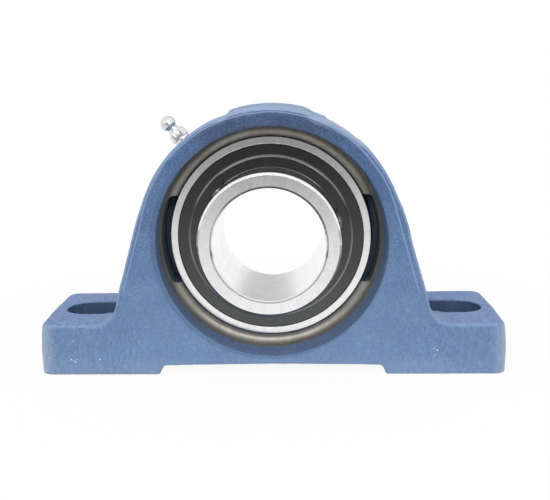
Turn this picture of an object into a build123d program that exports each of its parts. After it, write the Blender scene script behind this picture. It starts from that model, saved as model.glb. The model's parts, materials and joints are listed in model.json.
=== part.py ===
from build123d import *
from math import cos, radians, sin, sqrt, tan
import os

# Pillow block with a set-screw insert bearing for a 45 mm shaft. Millimetres, +Z up.
# The origin is the centre of the base, on the plane that the feet stand on. The shaft
# runs along Y, and the long end of the inner ring looks to -Y, the front.

# Insert bearing
shaft_height = 54.0          # base to shaft axis
bore_diameter = 45.0
ring_sphere_diameter = 85.0  # spherical outside of the outer ring
outer_ring_width = 22.0
inner_ring_front = 30.2      # from the ball plane to the long end
inner_ring_back = 19.0       # from the ball plane to the short end
inner_ring_diameter = 57.3
bore_chamfer = 0.9
rim_chamfer = 0.9
ring_edge_radius = 0.35

# Balls and raceways
ball_count = 9
ball_diameter = 12.7
pitch_diameter = 65.0
race_clearance = 0.03        # ball to the bottom of each groove
groove_conformity = 0.52     # groove radius over ball diameter
outer_land_radius = 36.4
seal_seat_radius = 38.7
seal_seat_depth = 2.4
oil_hole_radius = 0.8
oil_hole_offset = 6.8        # from the ball plane, beside the raceway

# Riveted ribbon cage
cage_sheet = 0.8
cage_band = 4.6              # radial width of the sheet
pocket_clearance = 0.15
rivet_radius = 0.8
rivet_head_radius = 1.5
rivet_head_height = 0.7
rivet_clearance = 0.02

# Seals and flingers
seal_recess = 0.6            # seal face behind the ring's side face
seal_rubber = 0.8
seal_core_sheet = 0.5
seal_inner_radius = 34.2
seal_gap = 0.08              # rubber to its seat in the ring
lip_clearance = 0.1
lip_thickness = 0.7
flinger_radius = 33.9
flinger_sheet = 0.8
flinger_proud = 0.3          # flinger face in front of the ring's side face
flinger_sleeve = 2.1
flinger_bead = 0.55          # radius of the rolled edge
press_gap = 0.01

# Set screws
screw_diameter = 8.0
screw_length = 7.0
screw_set_back = 8.5         # from the inner ring's front face
screw_retract = 0.3          # point behind the bore wall
screw_clearance = 0.05
screw_socket = 4.0           # across flats
screw_socket_depth = 3.2
screw_point = 1.0            # chamfer round the flat point
screw_chamfer = 0.5          # chamfer round the socket end
screw_angles = (16.0, 136.0)

# Housing
base_length = 193.0
base_width = 54.0
foot_height = 22.0
end_lean = 3.0               # ends of the feet from the vertical
crown_wall = 11.9            # outside of the arch beyond the seat's sphere
flank_angle = 16.4           # flanks from the vertical
draft_angle = 1.7            # from the parting plane to each face
foot_fillet = 8.5
foot_corner_radius = 5.0
edge_radius = 2.0
seat_width = 23.0
seat_clearance = 0.03
seat_chamfer = 0.5
oil_groove_width = 15.0
oil_groove_depth = 0.8
counterbore_wall = 3.9       # beyond the seat's sphere
counterbore_fillet = 2.6
counterbore_edge = 0.8
loading_slot_height = 35.8
loading_slot_reach = 2.5     # beyond the seat's sphere
loading_slot_radius = 2.6
bolt_spacing = 146.0
bolt_slot_width = 17.0
bolt_slot_length = 31.0
washer_radius = 14.5         # with room round it
pocket_width = 36.0          # across the base, beside each bolt head
pocket_corner_radius = 9.0
relief_length = 94.8         # between the pads, on the base plane
relief_depth = 3.3
relief_rise = 0.8            # of the roof at mid-span
relief_slope = 2.4           # lean of each end
title_pad_start = 65.0       # plain raised pad on the crown, angles from +X
title_pad_end = 108.0
title_pad_width = 17.0
title_pad_height = 0.7

# Grease nipple, with distances from the bearing's centre along the nipple
nipple_angle = 132.4
thread_diameter = 6.0
thread_clearance = 0.03
tapped_hole_start = 47.4
oil_passage_radius = 1.5
shank_start = 48.2
flange_radius = 3.4
flange_gap = 0.02            # flange to the crown
hex_start = 55.7
hex_across_flats = 7.0
hex_height = 3.2
collar_height = 0.7
neck_height = 1.5
neck_radius = 2.25
head_radius = 3.25
head_height = 5.6
head_cone = 1.6              # from the neck out to the head's full width
head_band = 2.0              # length at full width
head_tip_radius = 1.7
valve_bore_radius = 1.4
valve_bore_length = 8.9
valve_wall = 1.8             # from the head's tip to the ball's seat
orifice_radius = 0.8
valve_ball_radius = 1.15
valve_ball_gap = 0.02
spring_wire_radius = 0.14
spring_coil_radius = 0.95
spring_turns = 7
spring_gap = 0.03

cut_margin = 1.0             # how far cutters run past the faces they open
same_place = 0.001           # how near two places count as one when an edge is chosen

os.makedirs("parts", exist_ok=True)

ring_sphere_radius = ring_sphere_diameter / 2
half_ring = outer_ring_width / 2
inner_ring_radius = inner_ring_diameter / 2
bore_radius = bore_diameter / 2
ball_radius = ball_diameter / 2
pitch_radius = pitch_diameter / 2
groove_radius = groove_conformity * ball_diameter
half_base = base_width / 2
crown_radius = ring_sphere_radius + crown_wall
seat_radius = ring_sphere_radius + seat_clearance
counterbore_radius = ring_sphere_radius + counterbore_wall

shaft_axis = Axis((0, 0, shaft_height), (0, 1, 0))
# Section through the shaft: local x runs along the shaft, local y is the radius
shaft_section = Plane(origin=(0, 0, shaft_height), x_dir=(0, 1, 0), z_dir=(1, 0, 0))


def around_shaft(angle, radius, along=0.0):
    """A point at an angle from +X about the shaft, seen from the front."""
    return Vector(
        radius * cos(radians(angle)), along, shaft_height + radius * sin(radians(angle))
    )


def radial_plane(angle, along=0.0):
    """A plane across a radius of the shaft, with its normal pointing outwards."""
    outwards = (cos(radians(angle)), 0, sin(radians(angle)))
    return Plane(origin=(0, along, shaft_height), x_dir=(0, 1, 0), z_dir=outwards)


def radial_section(angle, along=0.0):
    """A plane that holds a radius: local x runs outwards, local y is the distance from it."""
    outwards = (cos(radians(angle)), 0, sin(radians(angle)))
    return Plane(origin=(0, along, shaft_height), x_dir=outwards, z_dir=(0, 1, 0))


def radial_axis(angle, along=0.0):
    outwards = (cos(radians(angle)), 0, sin(radians(angle)))
    return Axis((0, along, shaft_height), outwards)


# --- Housing: arch, feet and base in one iron casting ---

flank_top = (
    crown_radius * cos(radians(flank_angle)),
    shaft_height + crown_radius * sin(radians(flank_angle)),
)
flank_foot = flank_top[0] + (flank_top[1] - foot_height) * tan(radians(flank_angle))
skirt = half_base            # spare depth under the base, trimmed off after the draft
foot_end = base_length / 2 - foot_height * tan(radians(end_lean))
skirt_end = base_length / 2 + skirt * tan(radians(end_lean))
bolt_slot_inner = (bolt_slot_length - bolt_slot_width) / 2
pocket_wall = bolt_spacing / 2 - bolt_slot_inner - washer_radius

with BuildPart() as housing:
    # One half, drafted from the parting plane to the front face
    with BuildSketch(Plane.XZ) as outline:
        with BuildLine():
            feet = Polyline(
                flank_top,
                (flank_foot, foot_height),
                (foot_end, foot_height),
                (skirt_end, -skirt),
                (-skirt_end, -skirt),
                (-foot_end, foot_height),
                (-flank_foot, foot_height),
                (-flank_top[0], flank_top[1]),
            )
            ThreePointArc(feet @ 1, (0, shaft_height + crown_radius), feet @ 0)
        make_face()
        corners = outline.vertices().group_by(Axis.Y)[1].sort_by(Axis.X)
        fillet(corners[1:3], foot_fillet)
    extrude(amount=half_base, taper=draft_angle)
    split(bisect_by=Plane.XY, keep=Keep.TOP)
    upright = housing.edges().filter_by(
        lambda e: abs(e.center().X) > foot_end - foot_corner_radius
        and abs(e.center().Z - foot_height / 2) < edge_radius
    )
    front_corners = upright.sort_by(Axis.Y)[:2]
    fillet(front_corners, foot_corner_radius)
    raised = housing.edges().filter_by(lambda e: e.center().Z > foot_height / 2 + edge_radius)
    front_rim = raised.filter_by(lambda e: e.center().Y < foot_corner_radius - half_base)
    end_rims = raised.filter_by(
        lambda e: abs(e.center().X) > foot_end - foot_corner_radius
        and foot_corner_radius - half_base < e.center().Y < -edge_radius
    )
    fillet(front_rim + end_rims, edge_radius)
    mirror(about=Plane.XZ)

    # Room under the middle of the base
    with BuildSketch(Plane.XZ):
        with BuildLine():
            roof_end = relief_length / 2 - relief_slope
            Polyline(
                (-roof_end, relief_depth),
                (-relief_length / 2, 0),
                (-relief_length / 2, -cut_margin),
                (relief_length / 2, -cut_margin),
                (relief_length / 2, 0),
                (roof_end, relief_depth),
            )
            ThreePointArc(
                (roof_end, relief_depth),
                (0, relief_depth + relief_rise),
                (-roof_end, relief_depth),
            )
        make_face()
    extrude(amount=half_base + cut_margin, both=True, mode=Mode.SUBTRACT)

    # Slotted bolt holes
    with BuildSketch():
        with GridLocations(bolt_spacing, 0, 2, 1):
            SlotOverall(bolt_slot_length, bolt_slot_width)
    extrude(amount=foot_height + foot_fillet, mode=Mode.SUBTRACT)

    # Pockets in both flanks, with room for the washers and a spanner on the bolt heads
    with BuildSketch(Plane.XY.offset(foot_height)):
        with GridLocations(2 * pocket_wall + base_length, 0, 2, 1):
            RectangleRounded(base_length, pocket_width, pocket_corner_radius)
    extrude(amount=crown_radius + shaft_height, mode=Mode.SUBTRACT)

    # Plain pad on the crown
    with BuildSketch(Plane.XZ):
        with BuildLine():
            pad_outside = crown_radius + title_pad_height
            pad_inside = crown_radius - title_pad_height
            pad_sweep = title_pad_end - title_pad_start
            outer_arc = CenterArc((0, shaft_height), pad_outside, title_pad_start, pad_sweep)
            inner_arc = CenterArc((0, shaft_height), pad_inside, title_pad_start, pad_sweep)
            Line(outer_arc @ 0, inner_arc @ 0)
            Line(outer_arc @ 1, inner_arc @ 1)
        make_face()
    extrude(amount=title_pad_width / 2, both=True)

    # Counterbores and the spherical seat
    with BuildSketch(shaft_section) as seat_profile:
        with BuildLine():
            opened = half_base + cut_margin
            flare_radius = counterbore_radius + counterbore_edge + cut_margin
            arc_end = seat_width / 2 - seat_chamfer
            arc_radius = sqrt(seat_radius**2 - arc_end**2)
            Polyline(
                (-arc_end, arc_radius),
                (-seat_width / 2, arc_radius + seat_chamfer),
                (-seat_width / 2, counterbore_radius),
                (-half_base, counterbore_radius),
                (-half_base, flare_radius),
                (-opened, flare_radius),
                (-opened, 0),
                (opened, 0),
                (opened, flare_radius),
                (half_base, flare_radius),
                (half_base, counterbore_radius),
                (seat_width / 2, counterbore_radius),
                (seat_width / 2, arc_radius + seat_chamfer),
                (arc_end, arc_radius),
            )
            ThreePointArc((arc_end, arc_radius), (0, seat_radius), (-arc_end, arc_radius))
        make_face()
        wall_corners = seat_profile.vertices().filter_by(
            lambda v: abs(v.Y - counterbore_radius) < same_place
        )
        wall_corners = wall_corners.sort_by(Axis.X)
        fillet(wall_corners[1:3], counterbore_fillet)
        fillet([wall_corners[0], wall_corners[3]], counterbore_edge)
    revolve(axis=shaft_axis, mode=Mode.SUBTRACT)

    # Grease groove round the seat
    with BuildSketch(shaft_section):
        with Locations((0, seat_radius)):
            Rectangle(oil_groove_width, 2 * oil_groove_depth)
    revolve(axis=shaft_axis, mode=Mode.SUBTRACT)

    # Loading slots at both sides of the seat, open to the front, where the ring goes in edge on
    with BuildSketch(Plane.XZ) as loading:
        with Locations((0, shaft_height)):
            Circle(ring_sphere_radius + loading_slot_reach)
            Rectangle(base_length, loading_slot_height, mode=Mode.INTERSECT)
        fillet(loading.vertices(), loading_slot_radius)
    extrude(amount=half_base, mode=Mode.SUBTRACT)

    # Tapped hole and oil passage for the nipple
    with BuildSketch(radial_plane(nipple_angle)):
        Circle(oil_passage_radius)
    extrude(amount=crown_radius + cut_margin, mode=Mode.SUBTRACT)
    with BuildSketch(radial_plane(nipple_angle).offset(tapped_hole_start)):
        Circle(thread_diameter / 2 + thread_clearance)
    extrude(amount=crown_radius, mode=Mode.SUBTRACT)

housing.part.label = "housing"
export_step(housing.part, "parts/housing.step")

# --- Insert bearing: outer ring ---

groove_centre = pitch_radius + ball_radius + race_clearance - groove_radius
outer_groove_half = sqrt(groove_radius**2 - (outer_land_radius - groove_centre) ** 2)
face_edge = sqrt(ring_sphere_radius**2 - half_ring**2)

with BuildPart() as outer_ring:
    with BuildSketch(shaft_section) as outer_profile:
        with BuildLine():
            Polyline(
                (-outer_groove_half, outer_land_radius),
                (seal_seat_depth - half_ring, outer_land_radius),
                (seal_seat_depth - half_ring, seal_seat_radius),
                (-half_ring, seal_seat_radius),
                (-half_ring, face_edge),
            )
            ThreePointArc((-half_ring, face_edge), (0, ring_sphere_radius), (half_ring, face_edge))
            Polyline(
                (half_ring, face_edge),
                (half_ring, seal_seat_radius),
                (half_ring - seal_seat_depth, seal_seat_radius),
                (half_ring - seal_seat_depth, outer_land_radius),
                (outer_groove_half, outer_land_radius),
            )
            ThreePointArc(
                (outer_groove_half, outer_land_radius),
                (0, groove_centre + groove_radius),
                (-outer_groove_half, outer_land_radius),
            )
        make_face()
    revolve(axis=shaft_axis)
    outer_rims = (
        outer_ring.edges()
        .filter_by(GeomType.CIRCLE)
        .filter_by(lambda e: abs(e.radius - face_edge) < same_place)
    )
    fillet(outer_rims, ring_edge_radius)
    # Oil hole beside the raceway, turned to the nipple
    with BuildSketch(radial_plane(nipple_angle, oil_hole_offset)):
        Circle(oil_hole_radius)
    extrude(amount=ring_sphere_radius + cut_margin, mode=Mode.SUBTRACT)

outer_ring.part.label = "outer_ring"
export_step(outer_ring.part, "parts/outer_ring.step")

# --- Inner ring with its raceway and two tapped holes ---

inner_groove_centre = pitch_radius - ball_radius - race_clearance + groove_radius
inner_groove_half = sqrt(groove_radius**2 - (inner_groove_centre - inner_ring_radius) ** 2)
screw_plane = screw_set_back - inner_ring_front
screw_hole_radius = screw_diameter / 2

with BuildPart() as inner_ring:
    with BuildSketch(shaft_section) as inner_profile:
        with BuildLine():
            Polyline(
                (-inner_groove_half, inner_ring_radius),
                (-inner_ring_front, inner_ring_radius),
                (-inner_ring_front, bore_radius),
                (inner_ring_back, bore_radius),
                (inner_ring_back, inner_ring_radius),
                (inner_groove_half, inner_ring_radius),
            )
            ThreePointArc(
                (inner_groove_half, inner_ring_radius),
                (0, inner_groove_centre - groove_radius),
                (-inner_groove_half, inner_ring_radius),
            )
        make_face()
        end_corners = inner_profile.vertices().filter_by(lambda v: abs(v.X) > half_ring)
        chamfer(end_corners.filter_by(lambda v: v.Y < bore_radius + same_place), bore_chamfer)
        chamfer(end_corners.filter_by(lambda v: v.Y > bore_radius + same_place), rim_chamfer)
    revolve(axis=shaft_axis)
    for angle in screw_angles:
        with BuildSketch(radial_plane(angle, screw_plane)):
            Circle(screw_hole_radius)
        extrude(amount=inner_ring_diameter, mode=Mode.SUBTRACT)

inner_ring.part.label = "inner_ring"
export_step(inner_ring.part, "parts/inner_ring.step")

# --- Set screws: socket outside, flat point inside, just clear of the bore ---

screw_radius = screw_hole_radius - screw_clearance
screw_start = bore_radius + screw_retract

for number, angle in enumerate(screw_angles, start=1):
    with BuildPart() as set_screw:
        with BuildSketch(radial_section(angle, screw_plane)) as screw_profile:
            with BuildLine():
                Polyline(
                    (screw_start, 0),
                    (screw_start, screw_radius - screw_point),
                    (screw_start + screw_point, screw_radius),
                    (screw_start + screw_length - screw_chamfer, screw_radius),
                    (screw_start + screw_length, screw_radius - screw_chamfer),
                    (screw_start + screw_length, 0),
                    close=True,
                )
            make_face()
        revolve(axis=radial_axis(angle, screw_plane))
        with BuildSketch(radial_plane(angle, screw_plane).offset(screw_start + screw_length)):
            RegularPolygon(screw_socket / 2, 6, major_radius=False)
        extrude(amount=-screw_socket_depth, mode=Mode.SUBTRACT)
    set_screw.part.label = f"set_screw_{number}"
    export_step(set_screw.part, f"parts/set_screw_{number}.step")

# --- Balls ---

ball_pitch = 360 / ball_count
ball_angles = [90 + ball_pitch * index for index in range(ball_count)]

for number, angle in enumerate(ball_angles, start=1):
    with BuildPart() as ball:
        with Locations(around_shaft(angle, pitch_radius)):
            Sphere(ball_radius)
    ball.part.label = f"ball_{number}"
    export_step(ball.part, f"parts/ball_{number}.step")

# --- Cage: two pressed halves with a round pocket for each ball, riveted between them ---

pocket_inside = ball_radius + pocket_clearance
pocket_outside = pocket_inside + cage_sheet
cage_outside = pitch_radius + cage_band / 2
cage_inside = pitch_radius - cage_band / 2
rivet_angles = [angle + ball_pitch / 2 for angle in ball_angles]

for name, side in (("cage_front", -1), ("cage_rear", 1)):
    face = Plane(origin=(0, 0, shaft_height), x_dir=(1, 0, 0), z_dir=(0, side, 0))
    with BuildPart() as cage_half:
        with Locations([around_shaft(angle, pitch_radius) for angle in ball_angles]):
            Sphere(pocket_outside)
        with BuildSketch(face):
            Circle(cage_outside)
        extrude(amount=cage_sheet)
        # Keep this side of the ball plane, within the band of the sheet
        with BuildSketch(face):
            Circle(cage_outside)
            Circle(cage_inside, mode=Mode.SUBTRACT)
        extrude(amount=pocket_outside, mode=Mode.INTERSECT)
        with Locations([around_shaft(angle, pitch_radius) for angle in ball_angles]):
            Sphere(pocket_inside, mode=Mode.SUBTRACT)
        with BuildSketch(face):
            with Locations(
                [
                    (point.X, (point.Z - shaft_height) * -side)
                    for point in [around_shaft(a, pitch_radius) for a in rivet_angles]
                ]
            ):
                Circle(rivet_radius + rivet_clearance)
        extrude(amount=cage_sheet, mode=Mode.SUBTRACT)
    cage_half.part.label = name
    export_step(cage_half.part, f"parts/{name}.step")

with BuildPart() as cage_rivets:
    for angle in rivet_angles:
        centre = around_shaft(angle, pitch_radius)
        across = Plane(origin=centre, x_dir=(0, 1, 0), z_dir=(1, 0, 0))
        with BuildSketch(across):
            with BuildLine():
                Polyline(
                    (-cage_sheet - rivet_head_height, 0),
                    (-cage_sheet - rivet_head_height, rivet_radius),
                    (-cage_sheet, rivet_head_radius),
                    (-cage_sheet, rivet_radius),
                    (cage_sheet, rivet_radius),
                    (cage_sheet, rivet_head_radius),
                    (cage_sheet + rivet_head_height, rivet_radius),
                    (cage_sheet + rivet_head_height, 0),
                    close=True,
                )
            make_face()
        revolve(axis=Axis(centre, (0, 1, 0)))

cage_rivets.part.label = "cage_rivets"
export_step(cage_rivets.part, "parts/cage_rivets.step")

# --- Seals and flingers, the same on both sides ---

seal_outside = seal_seat_radius - seal_gap
seal_face = half_ring - seal_recess
core_face = seal_face - seal_rubber
core_back = core_face - seal_core_sheet
core_inside = seal_inner_radius + lip_thickness + press_gap
lip_radius = inner_ring_radius + lip_clearance
lip_back = core_back - lip_thickness
sleeve_radius = inner_ring_radius + press_gap
flinger_face = half_ring + flinger_proud
flinger_back = flinger_face - flinger_sheet
bead_centre = flinger_radius - flinger_bead

for name, side in (("front", -1), ("rear", 1)):
    with BuildPart() as seal:
        with BuildSketch(shaft_section):
            with BuildLine():
                Polyline(
                    (side * seal_face, seal_outside),
                    (side * seal_face, seal_inner_radius),
                    (side * core_back, seal_inner_radius),
                    (side * lip_back, lip_radius),
                    (side * (lip_back - lip_thickness), lip_radius),
                    (side * (core_back - lip_thickness), core_inside - press_gap),
                    (side * core_face, core_inside - press_gap),
                    (side * core_face, seal_outside),
                    close=True,
                )
            make_face()
        revolve(axis=shaft_axis)
    seal.part.label = f"seal_{name}"
    export_step(seal.part, f"parts/seal_{name}.step")

    with BuildPart() as seal_core:
        with BuildSketch(shaft_section):
            with Locations((side * (core_face + core_back) / 2, (core_inside + seal_outside) / 2)):
                Rectangle(seal_core_sheet, seal_outside - core_inside)
        revolve(axis=shaft_axis)
    seal_core.part.label = f"seal_core_{name}"
    export_step(seal_core.part, f"parts/seal_core_{name}.step")

    with BuildPart() as flinger:
        with BuildSketch(shaft_section) as flinger_profile:
            with BuildLine():
                Polyline(
                    (side * flinger_face, sleeve_radius),
                    (side * (flinger_face - flinger_sleeve), sleeve_radius),
                    (side * (flinger_face - flinger_sleeve), sleeve_radius + flinger_sheet),
                    (side * flinger_back, sleeve_radius + flinger_sheet),
                    (side * flinger_back, bead_centre),
                    (side * flinger_face, bead_centre),
                    close=True,
                )
            make_face()
            with Locations((side * (flinger_face - flinger_bead), bead_centre)):
                Circle(flinger_bead)
        revolve(axis=shaft_axis)
    flinger.part.label = f"flinger_{name}"
    export_step(flinger.part, f"parts/flinger_{name}.step")

# --- Grease nipple: threaded body, check ball and its spring ---

nipple_section = radial_section(nipple_angle)
nipple_axis = radial_axis(nipple_angle)
flange_start = crown_radius + flange_gap
hex_end = hex_start + hex_height
collar_end = hex_end + collar_height
neck_end = collar_end + neck_height
head_tip = neck_end + head_height
valve_seat = head_tip - valve_wall
valve_bore_start = valve_seat - valve_bore_length
shank_radius = thread_diameter / 2

with BuildPart() as grease_nipple:
    with BuildSketch(nipple_section):
        with BuildLine():
            Polyline(
                (shank_start, 0),
                (shank_start, shank_radius),
                (flange_start, shank_radius),
                (flange_start, flange_radius),
                (hex_start, flange_radius),
                (hex_start, head_radius),
                (collar_end, head_radius),
                (collar_end, neck_radius),
                (neck_end, neck_radius),
                (neck_end + head_cone, head_radius),
                (neck_end + head_cone + head_band, head_radius),
                (head_tip, head_tip_radius),
                (head_tip, 0),
                close=True,
            )
        make_face()
    revolve(axis=nipple_axis)
    with BuildSketch(radial_plane(nipple_angle).offset(hex_start)):
        RegularPolygon(hex_across_flats / 2, 6, major_radius=False)
    extrude(amount=hex_height)
    for start, length, radius in (
        (shank_start, head_tip - shank_start, orifice_radius),
        (valve_bore_start, valve_bore_length, valve_bore_radius),
    ):
        with BuildSketch(radial_plane(nipple_angle).offset(start)):
            Circle(radius)
        extrude(amount=length, mode=Mode.SUBTRACT)

grease_nipple.part.label = "grease_nipple"
export_step(grease_nipple.part, "parts/grease_nipple.step")

ball_reach = sqrt((valve_ball_radius + valve_ball_gap) ** 2 - orifice_radius**2)
valve_ball_centre = valve_seat - ball_reach

with BuildPart() as nipple_ball:
    with Locations(around_shaft(nipple_angle, valve_ball_centre)):
        Sphere(valve_ball_radius)

nipple_ball.part.label = "nipple_ball"
export_step(nipple_ball.part, "parts/nipple_ball.step")

ball_back = sqrt((valve_ball_radius + spring_wire_radius + spring_gap) ** 2 - spring_coil_radius**2)
spring_end = valve_ball_centre - ball_back
spring_start = valve_bore_start + spring_wire_radius + spring_gap
spring_length = spring_end - spring_start

with BuildPart() as nipple_spring:
    with BuildLine():
        coil = Helix(
            pitch=spring_length / spring_turns,
            height=spring_length,
            radius=spring_coil_radius,
            center=around_shaft(nipple_angle, spring_start),
            direction=nipple_axis.direction,
        )
    with BuildSketch(Plane(origin=coil @ 0, z_dir=coil % 0)):
        Circle(spring_wire_radius)
    sweep(path=coil, is_frenet=True)

nipple_spring.part.label = "nipple_spring"
export_step(nipple_spring.part, "parts/nipple_spring.step")
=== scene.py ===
import bpy
import bmesh
import json
from math import acos, atan2, cos, degrees, hypot, pi, radians, sin, sqrt, tan
from mathutils import Matrix, Vector, noise


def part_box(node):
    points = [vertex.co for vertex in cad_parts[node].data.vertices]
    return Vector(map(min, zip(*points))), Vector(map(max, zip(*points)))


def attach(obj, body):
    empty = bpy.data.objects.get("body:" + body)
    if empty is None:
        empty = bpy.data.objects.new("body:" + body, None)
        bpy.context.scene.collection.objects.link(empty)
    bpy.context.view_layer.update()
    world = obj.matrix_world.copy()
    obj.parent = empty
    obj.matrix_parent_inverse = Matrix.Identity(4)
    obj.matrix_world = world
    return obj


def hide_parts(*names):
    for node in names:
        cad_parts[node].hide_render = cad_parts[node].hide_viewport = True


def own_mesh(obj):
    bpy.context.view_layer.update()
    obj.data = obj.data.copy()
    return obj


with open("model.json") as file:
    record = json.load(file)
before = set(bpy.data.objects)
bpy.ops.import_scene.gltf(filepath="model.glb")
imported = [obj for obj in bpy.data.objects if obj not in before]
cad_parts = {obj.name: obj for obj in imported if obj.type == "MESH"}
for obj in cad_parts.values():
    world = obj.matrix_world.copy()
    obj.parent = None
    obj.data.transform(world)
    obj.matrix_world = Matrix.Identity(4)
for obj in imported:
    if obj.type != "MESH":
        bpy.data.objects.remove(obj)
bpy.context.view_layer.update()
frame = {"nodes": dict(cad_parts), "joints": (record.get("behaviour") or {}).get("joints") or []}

mm = 0.001
nodes = frame["nodes"]

# places that the whole model hangs on, in millimetres
ringLow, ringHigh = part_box("outer_ring")
innerLow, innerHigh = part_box("inner_ring")
housingLow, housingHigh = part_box("housing")
shaftHeight = (ringLow.z + ringHigh.z) / 2 / mm
sphereRadius = (ringHigh.z - ringLow.z) / 2 / mm
halfRing = (ringHigh.y - ringLow.y) / 2 / mm
ringFront = -innerLow.y / mm
ringBack = innerHigh.y / mm
innerRadius = (innerHigh.z - innerLow.z) / 2 / mm
ringWall = 6.15
boreRadius = innerRadius - ringWall
halfBase = (housingHigh.y - housingLow.y) / 2 / mm
axes = {joint["name"]: Vector(joint["axis"]) for joint in frame["joints"]}
nippleWay = -axes["check_ball_lift"]
screwWays = [axes["screw_1_travel"], axes["screw_2_travel"]]


def between(first, second, share):
    # part of the way from the first to the second, for numbers and for wires
    return first + (second - first) * share


# Node trees, written as expressions

def operator(operation, swapped=False):
    # one operator of a wire, which adds a Math node
    if swapped:
        return lambda self, other: self.graph.math(operation, other, self)
    return lambda self, other: self.graph.math(operation, self, other)


class Wire:
    # one output socket, so that sums, products and comparisons can be written out
    def __init__(self, graph, socket):
        self.graph = graph
        self.socket = socket

    def __abs__(self):
        return self.graph.math("ABSOLUTE", self)

    __add__ = __radd__ = operator("ADD")
    __mul__ = __rmul__ = operator("MULTIPLY")
    __sub__, __rsub__ = operator("SUBTRACT"), operator("SUBTRACT", True)
    __truediv__, __rtruediv__ = operator("DIVIDE"), operator("DIVIDE", True)
    __lt__, __gt__ = operator("LESS_THAN"), operator("GREATER_THAN")


def findSocket(sockets, key):
    if isinstance(key, int):
        return sockets[key]
    return next(s for s in sockets if s.enabled and key in (s.name, s.identifier))


class Graph:
    def __init__(self, tree):
        self.tree = tree

    def node(self, kind, values=None, output=0, **settings):
        # settings are the node's own, values go to its sockets, and output is the wire handed back
        made = self.tree.nodes.new(kind)
        for name, setting in settings.items():
            setattr(made, name, setting)
        for key, value in (values or {}).items():
            socket = findSocket(made.inputs, key)
            if isinstance(value, Wire):
                self.tree.links.new(value.socket, socket)
            else:
                socket.default_value = value
        return Wire(self, findSocket(made.outputs, output)) if made.outputs else made

    def math(self, operation, *values):
        return self.node("ShaderNodeMath", dict(enumerate(values)), operation=operation)

    def vector(self, operation, *values):
        return self.node("ShaderNodeVectorMath", dict(enumerate(values)), operation=operation)

    def distance(self, first, second):
        return self.node("ShaderNodeVectorMath", {0: first, 1: second}, "Value", operation="DISTANCE")

    def split(self, vector):
        parts = self.node("ShaderNodeSeparateXYZ", {"Vector": vector})
        return [Wire(self, socket) for socket in parts.socket.node.outputs]

    def join(self, x, y, z):
        return self.node("ShaderNodeCombineXYZ", {"X": x, "Y": y, "Z": z})

    def ease(self, value, low, high):
        # 0 below low, 1 above high, smooth between
        values = {"Value": value, "From Min": low, "From Max": high}
        return self.node("ShaderNodeMapRange", values, interpolation_type="SMOOTHSTEP")

    def band(self, value, low, full, over, high):
        # 0 outside low and high, 1 from full to over
        return self.ease(value, low, full) * (1 - self.ease(value, over, high))

    def clamp(self, value):
        return self.math("MINIMUM", self.math("MAXIMUM", value, 0.0), 1.0)

    def blend(self, amount, first, second, kind="RGBA"):
        values = {"Factor": amount, "A": first, "B": second}
        return self.node("ShaderNodeMix", values, "Result", data_type=kind)

    def shade(self, colour, amount):
        # brightens or darkens a colour by a factor that varies
        return self.vector("MULTIPLY", colour, self.join(amount, amount, amount))

    def grain(self, place, size, detail=2.0, roughness=0.5, seed=0.0):
        # noise from 0 to 1, with its size in millimetres
        values = {"Vector": place, "W": seed, "Scale": 1 / size, "Detail": detail, "Roughness": roughness}
        return self.node("ShaderNodeTexNoise", values, "Fac", noise_dimensions="4D")

    def bump(self, height, distance):
        return self.node("ShaderNodeBump", {"Height": height, "Distance": distance * mm}, "Normal")

    def polar(self, reach, angle, along):
        # a place at a distance from the Y axis and along it
        return self.join(reach * self.math("COSINE", angle), along, reach * self.math("SINE", angle))


def freshGraph(owner):
    # an empty node tree for a material or the world
    owner.use_nodes = True
    owner.node_tree.nodes.clear()
    return Graph(owner.node_tree)


def linear(red, green, blue):
    # an sRGB colour, 0 to 255, as Blender's linear one
    parts = [c / 255 for c in (red, green, blue)]
    return tuple(c / 12.92 if c < 0.04045 else ((c + 0.055) / 1.055) ** 2.4 for c in parts) + (1.0,)


def newMaterial(name):
    # Object coordinates come in millimetres
    material = bpy.data.materials.new(name)
    graph = freshGraph(material)
    scaled = {0: graph.node("ShaderNodeTexCoord", output="Object"), "Scale": 1 / mm}
    return material, graph, graph.node("ShaderNodeVectorMath", scaled, operation="SCALE")


def titled(values):
    # words such as baseColor become the titles of sockets, such as Base Color
    words = {name: "".join(" " + c if c.isupper() else c for c in name).title() for name in values}
    return {words[name].replace("Ior", "IOR"): value for name, value in values.items()}


def surface(graph, **values):
    shader = graph.node("ShaderNodeBsdfPrincipled", titled(values))
    graph.node("ShaderNodeOutputMaterial", {"Surface": shader})


def aroundShaft(graph, place):
    # distance from the shaft's axis, along it, and the height over the base, in millimetres
    x, y, z = graph.split(place)
    rise = z - shaftHeight
    radius = graph.math("SQRT", x * x + rise * rise)
    return x, y, z, rise, radius


enamel = {
    "blue": linear(100, 135, 184),
    "deep": linear(86, 119, 172),
    # pale patches at random, and the painted light on the lower parts
    "pale": linear(130, 162, 200),
    # the colour of the painted highlights: glints, the pale line along the outer edges and the rim's ridge
    "edge": linear(162, 190, 234),
    # the tops of the feet, lighter as painted top light, with darker blotches and pits
    "top": linear(132, 158, 206), "topDark": linear(84, 106, 156),
    # painted top light on the arch's up-facing top
    "crown": linear(160, 188, 228),
    "shade": linear(62, 76, 100),
    "paintedSheen": linear(178, 196, 222),
    "roughness": 0.24,
    "rimRadius": 51.5, "rimHalf": 26.0, "flankLean": 16.4,
    "chipColour": linear(236, 242, 248),
}
boltSlot = {
    "place": 74.0, "shift": -0.4, "width": 20.2, "length": 33.6, "mouth": 0.55,
    "plugWidth": 10.6, "plugLength": 17.2, "shadeReach": 17.3, "shadeDepth": 10.9,
}
iron = {
    "face": linear(152, 148, 139),
    "dark": linear(124, 119, 108),
    "pale": linear(166, 163, 154),
    # painted shade for the iron inside the loading slots and the groove
    "black": linear(84, 102, 116),
    "radius": 46.7, "half": 14.55, "shoulder": 11.42, "slotRadius": 42.4,
    "roughness": 0.36,
}
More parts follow.
